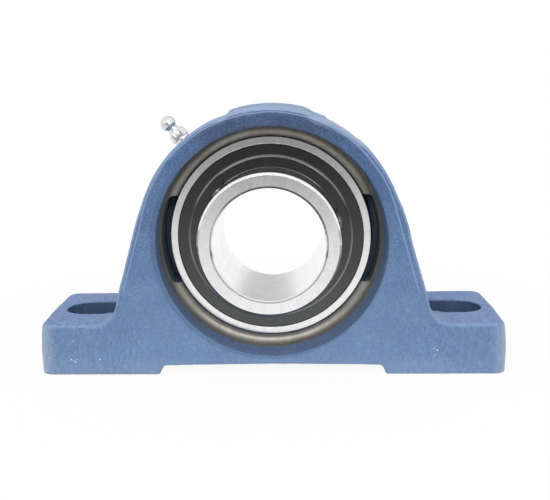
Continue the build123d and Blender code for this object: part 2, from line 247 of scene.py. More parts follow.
chips = [
    # across, height and size in millimetres of the paint chips on the front of the feet
    (-80.9, 14.6, 0.25), (-80.6, 9.8, 0.3), (-82.2, 6.4, 0.45), (-81.2, 6.0, 0.35), (-80.6, 5.4, 0.45),
    (-79.6, 6.4, 0.35), (-70.2, 6.6, 0.45), (-91.6, 7.2, 0.35), (65.8, 10.6, 0.35), (67.4, 10.0, 0.45),
    (66.6, 8.0, 0.35), (64.4, 14.4, 0.2), (66.0, 7.2, 0.25), (55.2, 26.8, 0.25),
]


def makeEnamel():
    material, graph, place = newMaterial("blueEnamel")
    x, y, z, rise, radius = aroundShaft(graph, place)
    band, blend, ease, grain, shade = graph.band, graph.blend, graph.ease, graph.grain, graph.shade
    depth, side = abs(y), abs(x)
    broad = grain(place, 16.0, 3.0, 0.55)
    blotch = grain(place, 3.6, 3.0, 0.6, 3.0)
    fine = ease(grain(place, 0.55, 2.0, 0.6, 7.0), 0.3, 0.7)
    colour = blend(ease(broad, 0.35, 0.68), enamel["deep"], enamel["blue"])
    colour = blend(ease(blotch, 0.5, 0.8) * 0.45, colour, enamel["pale"])
    colour = shade(colour, 0.6 + 0.8 * fine)
    # painted glints: fine bright specks in the highlight colour
    paintedGlint = ease(grain(place, 0.6, 1.0, 0.5, 101.0), 0.66, 0.76)
    colour = blend(paintedGlint * 0.5, colour, enamel["edge"])
    low = 1 - ease(z, 15.0, 95.0)      # painted light: the lower parts are paler, as if lit from the floor, and painted shade darkens the arch's top
    colour = shade(colour, 0.83 + 0.17 * low - 0.27 * ease(z, 90.0, 100.0))
    colour = blend(low * 0.42, colour, enamel["pale"])
    # painted sheen: the ends of the feet, most where they face front or back, and the lowest band are painted
    # paler where light catches them
    ends = graph.math("MAXIMUM", ease(x, 87.0, 96.0) * 0.65, ease(0 - x, 87.0, 93.5) * 0.6)
    hem = 1 - ease(z, 3.0, 9.0)
    facing = graph.node("ShaderNodeNewGeometry", output="Normal")
    across, ahead, upwards = graph.split(facing)
    ahead = abs(ahead)
    ends = ends * (1 - ease(z, 19.0, 21.5)) * (0.3 + 0.7 * ease(ahead, 0.1, 0.45))
    colour = blend(graph.math("MAXIMUM", ends, hem * 0.15), colour, enamel["paintedSheen"])

    # the tops of the feet are duller and pitted, with a lighter tone of painted top light; a painted
    # highlight makes a pale line along the outer edges
    onTop = ease(upwards, 0.75, 0.95) * (1 - ease(z, 24.0, 30.0))
    pitted = 1 - ease(grain(place, 1.3, 1.0, 0.5, 91.0), 0.34, 0.46)
    dull = blend(ease(blotch, 0.25, 0.75) * 0.35, enamel["top"], enamel["topDark"])
    dull = blend(pitted * 0.7, dull, enamel["topDark"])
    dull = blend(paintedGlint * 0.6, dull, enamel["edge"])
    colour = blend(onTop * 0.8, colour, dull)
    paintedEdgeLine = band(ahead, 0.42, 0.62, 0.8, 0.93) * ease(depth, 22.5, 24.0) * ease(radius, 48.2, 49.2)
    paintedEdgeLine = paintedEdgeLine * ease(z, 1.0, 4.0)
    edgeLineBreakup = grain(place, 1.2, 2.0, 0.6, 81.0)
    paintedEdgeLine = paintedEdgeLine * (0.3 + 0.35 * ease(z, 24.0, 40.0))
    colour = blend(paintedEdgeLine * (0.6 + 0.4 * ease(edgeLineBreakup, 0.2, 0.6)), colour, enamel["edge"])
    # painted top light: the up-facing top of the arch is painted lighter
    crown = ease(upwards, 0.3, 0.7) * ease(z, 80.0, 95.0)
    colour = blend(crown * (0.56 + 0.24 * ease(blotch, 0.25, 0.75)), colour, enamel["crown"])

    # shade inside the bolt slots
    inSlot = abs(side - boltSlot["place"]) < boltSlot["shadeReach"]
    inSlot = inSlot * (depth < boltSlot["shadeDepth"]) * (1 - ease(z, 20.5, 21.0))
    colour = blend(inSlot * 0.75, colour, enamel["shade"])

    # inside the bore the enamel is darkened as painted shade, and made rougher
    boreShadeAndRough = 1 - ease(radius, 47.0, 48.0)
    colour = shade(colour, 1 - 0.25 * boreShadeAndRough)

    # sagging lines in the paint on the flanks, runs on the feet
    lines = grain(graph.join(x * 0.06, y * 0.2, z * 1.1), 1.0, 2.0, 0.6, 51.0)
    runs = grain(graph.join(x * 1.1, y * 0.4, z * 0.35), 1.0, 3.0, 0.65, 57.0)
    onFlank = ease(side, 40.0, 46.0) * ease(z, 24.0, 30.0)
    onFoot = ease(side, 50.0, 56.0) * (1 - ease(z, 20.0, 23.0))
    colour = shade(colour, 1 + onFoot * (ease(runs, 0.35, 0.65) - 0.5) * 0.22)

    # the paint stands up in a narrow ridge where the flat front meets the rounded rim, and a painted
    # highlight runs along it
    lean = radians(enamel["flankLean"])
    onArch = rise > side * tan(lean)
    reach = onArch * radius + (1 - onArch) * (side * cos(lean) + rise * sin(lean))
    wander = grain(place, 9.0, 2.0, 0.5, 61.0) * 1.2 - 0.6
    rim = reach - enamel["rimRadius"] - wander
    ridgeAndHighlight = band(rim, -0.55, 0.0, 0.0, 0.5) * ease(depth, enamel["rimHalf"] - 1.0, enamel["rimHalf"])
    ridgeAndHighlight = ridgeAndHighlight * ease(z, 32.0, 38.0)
    colour = blend(ridgeAndHighlight * 0.7, colour, enamel["edge"])

    # chips
    chip = 0.0
    ragged = grain(place, 0.45, 2.0, 0.6, 71.0) * 1.1
    for across, height, size in chips:
        gap = graph.distance(graph.join(x, z, 0.0), (across, height, 0.0))
        chip = graph.math("MAXIMUM", chip, gap + ragged < size + 0.45)
    chip = chip * (y < -20.0)
    colour = blend(chip, colour, enamel["chipColour"])

    # bare iron where the seat was bored, with painted shade making it nearly black inside the loading slots
    # and the groove
    edge = grain(place, 1.4, 2.0, 0.6, 11.0) * 0.3
    bored = (radius < iron["radius"]) * (depth + edge < iron["half"] + 0.15)
    turned = grain(graph.join(radius * 2.2, depth * 2.2, 0.0), 1.0, 3.0, 0.6, 5.0)
    streaks = grain(graph.join(x / radius * 14.0, rise / radius * 14.0, depth * 0.1), 1.0, 3.0, 0.6, 15.0)
    mottled = grain(place, 5.0, 3.0, 0.6, 21.0)
    metal = blend(ease(mottled, 0.3, 0.7) * 0.6, iron["face"], iron["dark"])
    metal = blend(ease(streaks, 0.52, 0.75) * 0.5, metal, iron["pale"])
    slotShade = (depth < iron["shoulder"]) * (radius > iron["slotRadius"])
    metal = blend(slotShade, metal, iron["black"])

    bare = graph.math("MAXIMUM", bored, z < 0.2)
    colour = blend(bare, colour, metal)
    peel = grain(place, 2.2, 2.0, 0.5, 31.0)
    grit = grain(place, 0.6, 2.0, 0.5, 41.0)
    height = peel * 0.6 + grit * 0.7 + ridgeAndHighlight * 1.3 + onFlank * lines * 0.5 + onFoot * runs * 1.6 - chip * 0.6
    ironBump = graph.bump(turned * 0.8 + grit * 0.2, 0.02)
    rough = enamel["roughness"] + 0.14 * blotch + 0.3 * boreShadeAndRough * (1 - bare) + 0.25 * onTop
    surface(
        graph,
        baseColor=colour,
        roughness=rough + bare * (iron["roughness"] - enamel["roughness"] - 0.06) + slotShade * bare * 0.3,
        metallic=bare * (1 - slotShade) * 0.66,
        ior=1.6,
        normal=blend(bare, graph.bump(height, 0.12), ironBump, "VECTOR"),
    )
    return material


steel = {
    "light": linear(250, 250, 250),
    "dull": linear(236, 236, 236),
    # the colour of the dark specks, of the darker bore chamfers, and of the painted shade on the outer
    # chamfer's lower half
    "speck": linear(96, 92, 86),
    "roughness": 0.07,
    "outsideRoughness": 0.06,
}


def makeRingSteel():
    # ground faces with radial streaks, turned lines and a few dark specks
    material, graph, place = newMaterial("groundSteel")
    x, y, _, rise, radius = aroundShaft(graph, place)
    streak = graph.grain(
        graph.join(x / radius * 26.0, rise / radius * 26.0, radius * 0.12), 1.0, 2.0, 0.55, 2.0
    )
    lines = graph.grain(graph.join(radius * 4.0, y * 4.0, 0.0), 1.0, 2.0, 0.6)
    cloud = graph.grain(place, 7.0, 3.0, 0.6, 4.0)
    speck = graph.grain(place, 0.4, 1.0, 0.5, 9.0)
    tone = cloud * 0.5 + streak * 0.3 + lines * 0.2
    colour = graph.blend(graph.ease(tone, 0.36, 0.64), steel["dull"], steel["light"])
    colour = graph.blend(graph.ease(speck, 0.75, 0.8) * 0.6, colour, steel["speck"])
    reach = radius - boreRadius
    # the bore's chamfers at both faces are darker
    boreChamferTone = graph.band(reach, 0.3, 0.45, 0.85, 1.0) * (abs(y) > ringBack - 1.2)
    colour = graph.blend(boreChamferTone * 0.6, colour, steel["speck"])
    reach = radius - innerRadius
    # painted shade: the lower half of the outer chamfer is darker, where it catches no light
    lowerChamferShade = graph.band(reach, -0.95, -0.85, -0.1, 0.0) * (rise < 0.0)
    colour = graph.blend(lowerChamferShade * 0.6, colour, steel["speck"])
    outside = graph.band(reach, -0.12, -0.02, 1.0, 1.1)
    surface(
        graph,
        baseColor=colour,
        roughness=steel["roughness"] + 0.06 * lines + 0.04 * cloud + outside * steel["outsideRoughness"],
        metallic=0.94,
        normal=graph.bump(lines * 0.6 + streak * 0.4, 0.006),
    )
    return material


def makePlain(name, light, dark, roughness, metallic, size, bump):
    # a finish with soft clouds, fine grain and a matching bump
    material, graph, place = newMaterial(name)
    cloud = graph.grain(place, size * 6, 3.0, 0.6)
    fine = graph.grain(place, size, 2.0, 0.6, 5.0)
    colour = graph.blend(graph.ease(cloud * 0.6 + fine * 0.4, 0.35, 0.65), dark, light)
    surface(
        graph,
        baseColor=colour,
        roughness=roughness + 0.12 * cloud,
        metallic=metallic,
        normal=graph.bump(fine, bump),
    )
    return material


def makeRubber(name, light, dark, roughness, rim=(0, 0)):
    # black nitrile with a bloom of dust and faint moulding rings, and painted light that makes it paler
    # towards the bottom
    material, graph, place = newMaterial(name)
    _, y, _, rise, radius = aroundShaft(graph, place)
    rings = graph.grain(graph.join(radius * 1.6, y * 1.6, 0.0), 1.0, 2.0, 0.5)
    dust = graph.grain(place, 3.0, 3.0, 0.65, 8.0)
    speck = graph.grain(place, 0.35, 1.0, 0.5, 12.0)
    # painted light: paler towards the bottom, where the floor below is mirrored
    paintedLowerLight = 1 - graph.ease(rise, -38.0, -8.0)
    colour = graph.blend(graph.ease(dust, 0.4, 0.75) * 0.6, dark, light)
    colour = graph.blend(paintedLowerLight * 0.5, colour, linear(96, 101, 97))
    colour = graph.blend(graph.ease(speck, 0.72, 0.8) * 0.4, colour, linear(120, 118, 114))
    surface(
        graph,
        baseColor=colour,
        roughness=roughness + 0.06 * dust,
        ior=1.74,
        coatWeight=(radius > rim[0]) * (radius < rim[1]),
        coatIor=2.1,
        coatRoughness=0.1,
        normal=graph.bump(rings * 0.7 + speck * 0.3, 0.02),
    )
    return material


materials = {
    "enamel": makeEnamel(),
    "ring": makeRingSteel(),
    "ball": makePlain("ballSteel", linear(228, 228, 230), linear(210, 210, 212), 0.08, 1.0, 0.8, 0.001),
    "cage": makePlain("cageSteel", linear(176, 176, 176), linear(140, 140, 138), 0.3, 0.9, 0.5, 0.01),
    "zinc": makePlain("zincPlate", linear(240, 241, 242), linear(218, 218, 216), 0.14, 0.92, 0.5, 0.006),
    "screw": makePlain("blackenedSteel", linear(196, 193, 184), linear(120, 117, 110), 0.16, 0.9, 0.4, 0.01),
    "rubber": makeRubber("sealRubber", linear(26, 31, 33), linear(12, 16, 18), 0.12),
    "flinger": makeRubber("flingerCoat", linear(24, 28, 31), linear(12, 15, 18), 0.1, (33.5, 34.5)),
}
print("materials made:", len(materials))


def newPiece(name, mesh):
    piece = bpy.data.objects.new(name, mesh)
    bpy.context.scene.collection.objects.link(piece)
    return piece


def meshFrom(name, points, faces=()):
    mesh = bpy.data.meshes.new(name)
    mesh.from_pydata(points, (), faces)
    return mesh


def settle(piece):
    # turns the evaluated object into a plain mesh with no modifiers
    bpy.context.view_layer.update()
    shape = piece.evaluated_get(bpy.context.evaluated_depsgraph_get())
    mesh = bpy.data.meshes.new_from_object(shape)
    piece.modifiers.clear()
    piece.data = mesh
    return piece


def tidyNormals(piece, sharpAngle=38):
    shape = bmesh.new()
    shape.from_mesh(piece.data)
    bmesh.ops.recalc_face_normals(shape, faces=shape.faces)
    shape.to_mesh(piece.data)
    shape.free()
    piece.data.shade_smooth()
    piece.data.set_sharp_from_angle(angle=radians(sharpAngle))
    return piece


def cutWith(piece, *cutters):
    for cutter in cutters:
        cut = piece.modifiers.new("cut", "BOOLEAN")
        cut.operation = "DIFFERENCE"
        cut.solver = "MANIFOLD"
        cut.object = cutter
    settle(piece)
    for cutter in cutters:
        bpy.data.objects.remove(cutter)
    return piece


def grow(piece, tree, **values):
    # runs a tree on the piece, with the inputs set by name, and keeps the plain mesh
    values = titled(values)
    runner = piece.modifiers.new("tree", "NODES")
    runner.node_group = tree
    for item in tree.interface.items_tree:
        if item.item_type == "SOCKET" and item.in_out == "INPUT" and item.name in values:
            runner[item.identifier] = values[item.name]
    return settle(piece)


def loft(name, rings):
    # a closed solid through rings of points, all with the same count and flat at both ends
    count, last = len(rings[0]), len(rings) - 1
    points = [tuple(c * mm for c in point) for ring in rings for point in ring]
    pairs = [(i, (i + 1) % count) for i in range(count)]
    faces = [
        (row + i, row + j, row + count + j, row + count + i)
        for row in range(0, last * count, count) for i, j in pairs
    ]
    faces += [tuple(range(count)), tuple(range(last * count, (last + 1) * count))]
    return tidyNormals(newPiece(name, meshFrom(name, points, faces)))


def newTree(name, **inputs):
    # each input is given with its first value, and None stands for a material
    kinds = {float: "Float", int: "Int", type(None): "Material"}
    tree = bpy.data.node_groups.new(name, "GeometryNodeTree")
    tree.interface.new_socket("Geometry", in_out="INPUT", socket_type="NodeSocketGeometry")
    for title, value in titled(inputs).items():
        kind = "NodeSocket" + kinds[type(value)]
        socket = tree.interface.new_socket(title, in_out="INPUT", socket_type=kind)
        if value is not None:
            socket.default_value = value
    tree.interface.new_socket("Geometry", in_out="OUTPUT", socket_type="NodeSocketGeometry")
    graph = Graph(tree)
    given = graph.node("NodeGroupInput")
    wires = {s.name: Wire(graph, s) for s in given.socket.node.outputs if s.name}
    return tree, graph, wires


def finishTree(graph, geometry, material):
    real = graph.node("GeometryNodeRealizeInstances", {"Geometry": geometry})
    painted = graph.node("GeometryNodeSetMaterial", {"Geometry": real, "Material": material})
    graph.node("NodeGroupOutput", {"Geometry": painted})


def sheetOf(graph, segments, lastRow):
    # a flat sheet to be rolled up, with the share of a turn and the row at each of its points
    counts = {"Vertices X": segments + 1, "Vertices Y": lastRow + 1}
    sheet = graph.node("GeometryNodeMeshGrid", {"Size X": 1.0, "Size Y": 1.0, **counts}, "Mesh")
    across, up, _ = graph.split(graph.node("GeometryNodeInputPosition"))
    turn = graph.math("ROUND", (across + 0.5) * segments) / segments
    return sheet, turn, graph.math("ROUND", (up + 0.5) * lastRow)


def rollUp(graph, sheet, place, material):
    # moves the sheet's points to their places and closes the seam and the ends
    rolled = graph.node("GeometryNodeSetPosition", {"Geometry": sheet, "Position": place})
    closed = graph.node("GeometryNodeMergeByDistance", {"Geometry": rolled, "Distance": 0.0008 * mm})
    finishTree(graph, closed, material)


def makeLatheTree():
    # turns a profile about local Y: each profile point holds its radius in x and its place in y
    tree, graph, given = newTree("turnedProfile", segments=96, closed=1.0, material=None)
    profile = given["Geometry"]
    rows = graph.node(
        "GeometryNodeAttributeDomainSize", {"Geometry": profile}, "Point Count", component="MESH"
    )
    sheet, turn, row = sheetOf(graph, given["Segments"], rows + given["Closed"] - 1)
    row = graph.math("MODULO", row, rows)

    def sampled(kind, value):
        values = {"Geometry": profile, "Value": value, "Index": row}
        return graph.node("GeometryNodeSampleIndex", values, data_type=kind)

    point = sampled("FLOAT_VECTOR", graph.node("GeometryNodeInputPosition"))
    flats = graph.node(
        "GeometryNodeInputNamedAttribute", {"Name": "flats"}, "Attribute", data_type="FLOAT"
    )
    angle, sector = turn * (2 * pi), pi / 3
    corner = 1 / graph.math("COSINE", graph.math("MODULO", angle, sector) - sector / 2)
    radius, along, _ = graph.split(point)
    reach = radius * between(1, corner, sampled("FLOAT", flats))
    rollUp(graph, sheet, graph.polar(reach, angle, along), given["Material"])
    return tree


latheTree = makeLatheTree()


def rounded(corners, closed=True, steps=4):
    # corners are (along, radius, edge radius, flats); each rounded corner becomes an arc
    points = []
    count = len(corners)
    for index, (along, radius, edge, *flats) in enumerate(corners):
        here = Vector((along, radius))
        ends = not closed and index in (0, count - 1)
        if not edge or ends:
            points.append((here.x, here.y, flats[0] if flats else 0.0))
            continue
        before = (Vector(corners[index - 1][:2]) - here).normalized()
        after = (Vector(corners[(index + 1) % count][:2]) - here).normalized()
        half = before.angle(after) / 2
        run = edge / tan(half)
        middle = here + (before + after).normalized() * (edge / sin(half))
        start = here + before * run - middle
        sweep = start.angle_signed(here + after * run - middle)
        points.append((*(here + before * run * 1.2), 0.0))
        for step in range(steps + 1):
            turn = Matrix.Rotation(-sweep * step / steps, 2)
            points.append((*(middle + turn @ start), 0.0))
        points.append((*(here + after * run * 1.2), 0.0))
    return points


def arcOf(centreAlong, centreRadius, size, start, end, steps):
    # points of an arc, with its angles from the first direction in degrees
    turns = [radians(start + (end - start) * step / steps) for step in range(steps + 1)]
    return [(centreAlong + size * cos(t), centreRadius + size * sin(t), 0) for t in turns]


def turnPiece(name, profile, material, segments=256, closed=True, way=None, along=0.0, twist=0.0):
    # way is the direction of a radial piece, along is where it stands on the shaft
    mesh = meshFrom(name, [(r * mm, a * mm, 0) for a, r, _ in profile])
    flats = mesh.attributes.new("flats", "FLOAT", "POINT")
    flats.data.foreach_set("value", [f for *_, f in profile])
    piece = newPiece(name, mesh)
    grow(piece, latheTree, segments=segments, closed=float(closed), material=material)
    piece.data.transform(standOn(way, along) @ Matrix.Rotation(radians(twist), 4, "Y"))
    return tidyNormals(piece)


def standOn(way, along=0.0):
    # from a piece's own Y axis to the shaft, or to a radius of it
    stand = Matrix.Translation((0, along * mm, shaftHeight * mm))
    return stand @ way.to_track_quat("Y", "Z").to_matrix().to_4x4() if way else stand


# Housing: an iron casting with a bored seat

cast = {
    "voxel": 0.82,
    "smoothing": 2,
    "skirt": 2.6,             # cut off again, which leaves the ground base crisp
    "shift": 0.45,            # the casting lies a little to the right of its bore
    "footTop": 21.3, "footHeight": 22.0, "draft": 1.7,   # as cast, and as drawn
    # the sand's layers: size and height of their bumps, and where each starts in the noise
    "layers": [(25.0, 0.16, (0, 0, 0)), (3.4, 0.075, (7, 3, 1)), (1.5, 0.03, (2, 9, 4))],
    "shoulderDrop": 0.4,
    "flankSwell": 0.3,
    "endSwell": 0.6,          # of the ends of the feet, at half their height
    "endSplay": (0.072, 27.0, 0.037, 16.0),   # left and right: how the ends open to the back
    "bulges": [(3, 17, 0.35), (47, 73, -0.55), (64, 73, -0.33), (109, 113, -0.5)],   # angles, height
}
seat = {
    "half": 11.5, "clearance": 0.03, "chamfer": 0.5,
    "wall": 46.45, "wallFront": 46.1, "rim": 0.5,
    "dish": 5.6, "dishStart": 17.0, "dishEnd": 62.0,   # the hollow that the boring tool left
    "grooveHalf": 3.4, "grooveDepth": 0.8,
    "opening": 42.08,         # the seat stops short of its shoulder, so the ring's edge clears it
    "coreShift": (0.42, 0.0), "coreShiftFront": (0.87, -0.2),   # how far the sand core lay off centre
    "slotInside": 36.0, "slotReach": 45.4, "slotTop": 17.9, "slotBottom": -19.0, "slotCorner": 2.8,
    "tappedRadius": 3.03, "tappedStart": 40.0, "tappedEnd": 60.0,
    "stopperRadius": 4.0, "stopperStart": 43.0, "stopperEnd": 53.5,   # fills the drawn hole first
    "plugInside": 39.0, "plugOutside": 48.6,
}


def easeBetween(value, low, high):
    t = min(max((value - low) / (high - low), 0), 1)
    return t * t * (3 - 2 * t)


def bandBetween(value, low, full, over, high):
    return easeBetween(value, low, full) * (1 - easeBetween(value, over, high))


def machinedDepth():
    # how far from the parting plane the boring tool reached
    return seat["half"] + seat["dish"] * (cos(radians(seat["dishStart"])) - cos(radians(seat["dishEnd"])))


def boreProfile():
    # one closed profile: everything that the boring bar and the core left round the shaft
    sphere = sphereRadius + seat["clearance"]
    opening = seat["opening"]
    opened = halfBase + 2.0
    front = halfBase - seat["rim"]
    flare = seat["wallFront"] + seat["rim"]
    dish, start, end = seat["dish"], seat["dishStart"], seat["dishEnd"]
    machined = machinedDepth()
    half = [
        (opened, flare + 3.0, 0),
        (halfBase + 0.4, flare + 3.0, 0),
        *arcOf(front, flare, seat["rim"], 0, -90, 6),
        *[(between(front, machined, step / 6), between(seat["wallFront"], seat["wall"], step / 6), 0)
          for step in range(1, 6)],
        *arcOf(
            seat["half"] + dish * cos(radians(start)), seat["wall"] - dish * sin(radians(end)), dish,
            180 - end, 180 - start, 12,
        ),
        (seat["half"], opening + seat["chamfer"], 0),
        (seat["half"] - seat["chamfer"], opening, 0),
    ]
    lip = sqrt(sphere**2 - seat["grooveHalf"] ** 2)
    floor = sphere + seat["grooveDepth"]
    sphereEnd = sqrt(sphere**2 - opening**2)
    steps = [between(sphereEnd, seat["grooveHalf"], step / 5) for step in range(5)]
    bearing = [(a, sqrt(sphere**2 - a**2), 0) for a in steps]
    right = half + bearing + [(seat["grooveHalf"], lip, 0), (seat["grooveHalf"], floor, 0)]
    inside = seat["plugInside"] - 1.0
    outside = right + [(-a, r, f) for a, r, f in reversed(right)]
    return outside + [(-opened, inside, 0), (opened, inside, 0)]


def slotCutter(side):
    # a loading slot: straight top and bottom, round outside, rounded corners, open to the front
    corner, reach, inner = seat["slotCorner"], seat["slotReach"], seat["slotInside"]
    low, high = seat["slotBottom"] + corner, seat["slotTop"] - corner
    leans = [degrees(atan2(up, sqrt((reach - corner) ** 2 - up**2))) for up in (low, high)]
    outs = [sqrt((reach - corner) ** 2 - up**2) for up in (low, high)]
    outline = [
        (inner, low - corner, 0), *arcOf(outs[0], low, corner, -90, leans[0], 6),
        *arcOf(0, 0, reach, *leans, 24)[1:-1],
        *arcOf(outs[1], high, corner, leans[1], 90, 6), (inner, high + corner, 0),
    ]
    return loft("slotCutter", [[(side * x, y, z + shaftHeight) for x, z, _ in outline] for y in (-16, 0)])


def drawnTop(depth):
    # the foot's height on the drawing, which falls away from the parting plane
    return cast["footHeight"] - depth * tan(radians(cast["draft"]))


def slotPlug(side):
    # fills a bolt slot up to the top of the foot
    place, half, long = side * boltSlot["place"], boltSlot["plugWidth"], boltSlot["plugLength"]
    low, drawn = -cast["skirt"], drawnTop(half)
    outline = [(-half, low), (half, low), (half, drawn), (0, drawnTop(0)), (-half, drawn)]
    return loft("slotPlug", [[(place + end * long, y, z) for y, z in outline] for end in (-1, 1)])


def boltSlotCutter(side):
    # a slot through the foot with a rounded mouth at the top
    mouth, half = boltSlot["mouth"], boltSlot["width"] / 2
    straight = (boltSlot["length"] - boltSlot["width"]) / 2
    level = cast["footTop"]
    rows = [
        (-6.0, half, 0), *arcOf(level - mouth, half + mouth, mouth, -90, -18, 6),
        (level + 0.15, half + mouth, 0), (level + 5.0, half + mouth + 0.5, 0),
    ]
    turns = [pi * step / 20 for step in range(21)]
    rings = []
    for z, reach, _ in rows:
        ends = [(straight + reach * sin(t), reach * cos(t)) for t in turns]
        ends += [(-x, -y) for x, y in ends]
        rings.append([(side * boltSlot["place"] + x, y + boltSlot["shift"], z) for x, y in ends])
    return loft("boltSlotCutter", rings)


def baseCutter():
    # takes off the skirt, and leaves the ground base
    half = 130.0
    corners = [(-half, -half), (half, -half), (half, half), (-half, half)]
    return loft("baseCutter", [[(x, y, z) for x, y in corners] for z in (-12.0, 0.0)])


def castOffset(place, normal):
    # how far the sand mould left the surface from its drawn shape, in millimetres
    sand = sum(noise.noise(place / size + Vector(at)) * height for size, height, at in cast["layers"])
    onFoot = easeBetween(abs(place.x), 62, 70) * (1 - easeBetween(place.z, 18, 21))
    front = onFoot * easeBetween(-normal.y, 0.5, 0.9)
    streak = noise.noise(Vector((place.x / 2.6, place.y / 9, place.z / 11))) * 0.16
    onFlank = easeBetween(abs(place.x), 48, 52) * bandBetween(place.z, 26, 34, 66, 80)
    line = noise.noise(Vector((place.x / 14, place.y / 9, place.z / 0.9))) * 0.05
    keep = 1 - easeBetween(-normal.z, 0.6, 0.9) * (1 - easeBetween(place.z, 0.5, 6.0))
    return (sand + front * streak + onFlank * line) * keep


def castMove(place):
    # slow changes of the outline between the drawing and the casting
    rise = place.z - shaftHeight
    radius = hypot(place.x, rise)
    outside = easeBetween(radius, 47.5, 52)
    move = Vector((cast["shift"] * outside, 0, 0))
    onFoot = easeBetween(abs(place.x), 68, 74) * easeBetween(place.z, 12, 20)
    move.z += onFoot * (cast["footTop"] - drawnTop(abs(place.y)))
    edge = easeBetween(abs(place.y), 8, 26)
    if rise > 0:
        slant = rise / max(radius, 1)
        shoulder = easeBetween(slant, 0.2, 0.45) * easeBetween(radius, 47, 52)
        out = Vector((place.x, 0, rise)).normalized()
        move -= out * shoulder * edge * cast["shoulderDrop"]
        angle = degrees(atan2(rise, place.x))
        for start, end, height in cast["bulges"]:
            within = bandBetween(angle, start - 3, start + 3, end - 3, end + 3)
            move += out * within * outside * height
    onEnd = easeBetween(abs(place.x), 86, 93)
    swell = cast["endSwell"] * onEnd * sin(pi * min(max(place.z / cast["footHeight"], 0), 1))
    left, leftStart, right, rightStart = cast["endSplay"]
    opened = (place.y + leftStart) * left if place.x < 0 else (place.y + rightStart) * right
    swell += easeBetween(abs(place.x), 80, 92) * opened
    move.x += swell if place.x > 0 else -swell
    side = bandBetween(place.z, 24, 34, 60, 70) * easeBetween(abs(place.x), 47, 52)
    swell = cast["flankSwell"] * side * edge
    move.x += swell if place.x > 0 else -swell
    return move


def nippleRod(name, segments):
    # the stopper or the tapped hole, along the grease nipple's axis
    radius, start, end = (seat[name + size] for size in ("Radius", "Start", "End"))
    corners = [(start, 0, 0), (start, radius, 0), (end, radius, 0), (end, 0, 0)]
    return turnPiece(name, corners, materials["enamel"], segments, False, way=nippleWay)


def drawnHousing():
    # the drawing's housing as one mesh, carried on below its base by the skirt
    shape = bmesh.new()
    shape.from_mesh(nodes["housing"].data)
    bmesh.ops.remove_doubles(shape, verts=shape.verts, dist=0.001 * mm)
    for vertex in shape.verts:
        if vertex.co.z < 0.2 * mm:
            vertex.co.z -= cast["skirt"] * mm
    mesh = bpy.data.meshes.new("castHousing")
    shape.to_mesh(mesh)
    shape.free()
    return newPiece("castHousing", mesh)


def recast(housing, fillers):
    # one rounded skin over the housing and its fillers, moved as the mould and the sand left it
    shape = bmesh.new()
    for part in (housing, *fillers):
        shape.from_mesh(part.data)
    shape.to_mesh(housing.data)
    shape.free()
    for part in fillers:
        bpy.data.objects.remove(part)
    remesh = housing.modifiers.new("recast", "REMESH")
    remesh.mode = "VOXEL"
    remesh.voxel_size = cast["voxel"] * mm
    ease = housing.modifiers.new("ease", "SMOOTH")
    ease.iterations = cast["smoothing"]
    settle(housing)
    normals = [Vector(n.vector) for n in housing.data.vertex_normals]
    for vertex, normal in zip(housing.data.vertices, normals):
        place = vertex.co / mm
        place += castMove(place)
        place += normal * castOffset(place, normal)
        vertex.co = place * mm


def makeBore():
    # what the bore takes away: past the boring tool's reach the cored wall is rough and off centre
    bore = turnPiece("bore", boreProfile(), materials["enamel"], 320)
    machined = machinedDepth()
    for vertex in bore.data.vertices:
        place = vertex.co / mm
        out = Vector((place.x, 0, place.z - shaftHeight))
        depth = abs(place.y)
        if out.length > seat["wallFront"] - 1 and depth > machined + 0.01:
            along = easeBetween(depth, machined, halfBase)
            across, up = (between(*ends, along) for ends in zip(seat["coreShift"], seat["coreShiftFront"]))
            rough = easeBetween(depth, machined + 0.1, machined + 2)
            place += out.normalized() * rough * castOffset(place, Vector((0, 0, 1))) * 0.8
            place += Vector((across, 0, up))
            vertex.co = place * mm
    return bore


def makeHousing():
    # the bore is filled, the outside is recast, and the bore is cut again with crisp edges
    housing = drawnHousing()
    inside, outside = seat["plugInside"], seat["plugOutside"]
    plug = turnPiece("plug", [
        (-halfBase, inside, 0), (-halfBase, outside, 0), (halfBase, outside, 0), (halfBase, inside, 0),
    ], materials["enamel"], 128)
    recast(housing, [plug, nippleRod("stopper", 24), slotPlug(-1), slotPlug(1)])
    cutWith(
        housing, makeBore(), slotCutter(1), slotCutter(-1), nippleRod("tapped", 32),
        boltSlotCutter(1), boltSlotCutter(-1), baseCutter(),
    )
    housing.data.materials.clear()
    housing.data.materials.append(materials["enamel"])
    housing.data.shade_smooth()
    housing.data.set_sharp_from_angle(angle=radians(42))
    return housing


housing = makeHousing()
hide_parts("housing")
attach(housing, "housing")
print("housing:", len(housing.data.polygons), "faces")


# Insert bearing: the two rings

# the set screws stand here too, because the inner ring's tapped holes take their place and size
screwLow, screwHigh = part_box("set_screw_1")
screw = {
    "radius": 3.95, "pitch": 1.0, "threadDepth": 0.42,
    "start": 22.8, "length": 7.0, "point": 1.0, "chamfer": 0.45,
    "socket": 2.0, "socketDepth": 3.2, "hole": 4.0,
    "plane": (screwLow.y + screwHigh.y) / 2 / mm,
}
race = {
    "ballRadius": 6.35, "pitchRadius": 32.5, "grooveRadius": 6.604, "clearance": 0.03,
    "landRadius": 36.4, "sealSeat": 38.8, "sealDepth": 2.4,
    "faceRadius": 41.65, "faceEdge": 0.12, "chamfer": 0.9,
}


def raceArc(centre, land, inwards):
    # the round groove that the balls run in, cut into the land of a ring
    half = sqrt(race["grooveRadius"] ** 2 - (land - centre) ** 2)
    reach = degrees(atan2(abs(land - centre), half))
    ends = (360 - reach, 180 + reach) if inwards else (reach, 180 - reach)
    return arcOf(0, centre, race["grooveRadius"], *ends, 20)


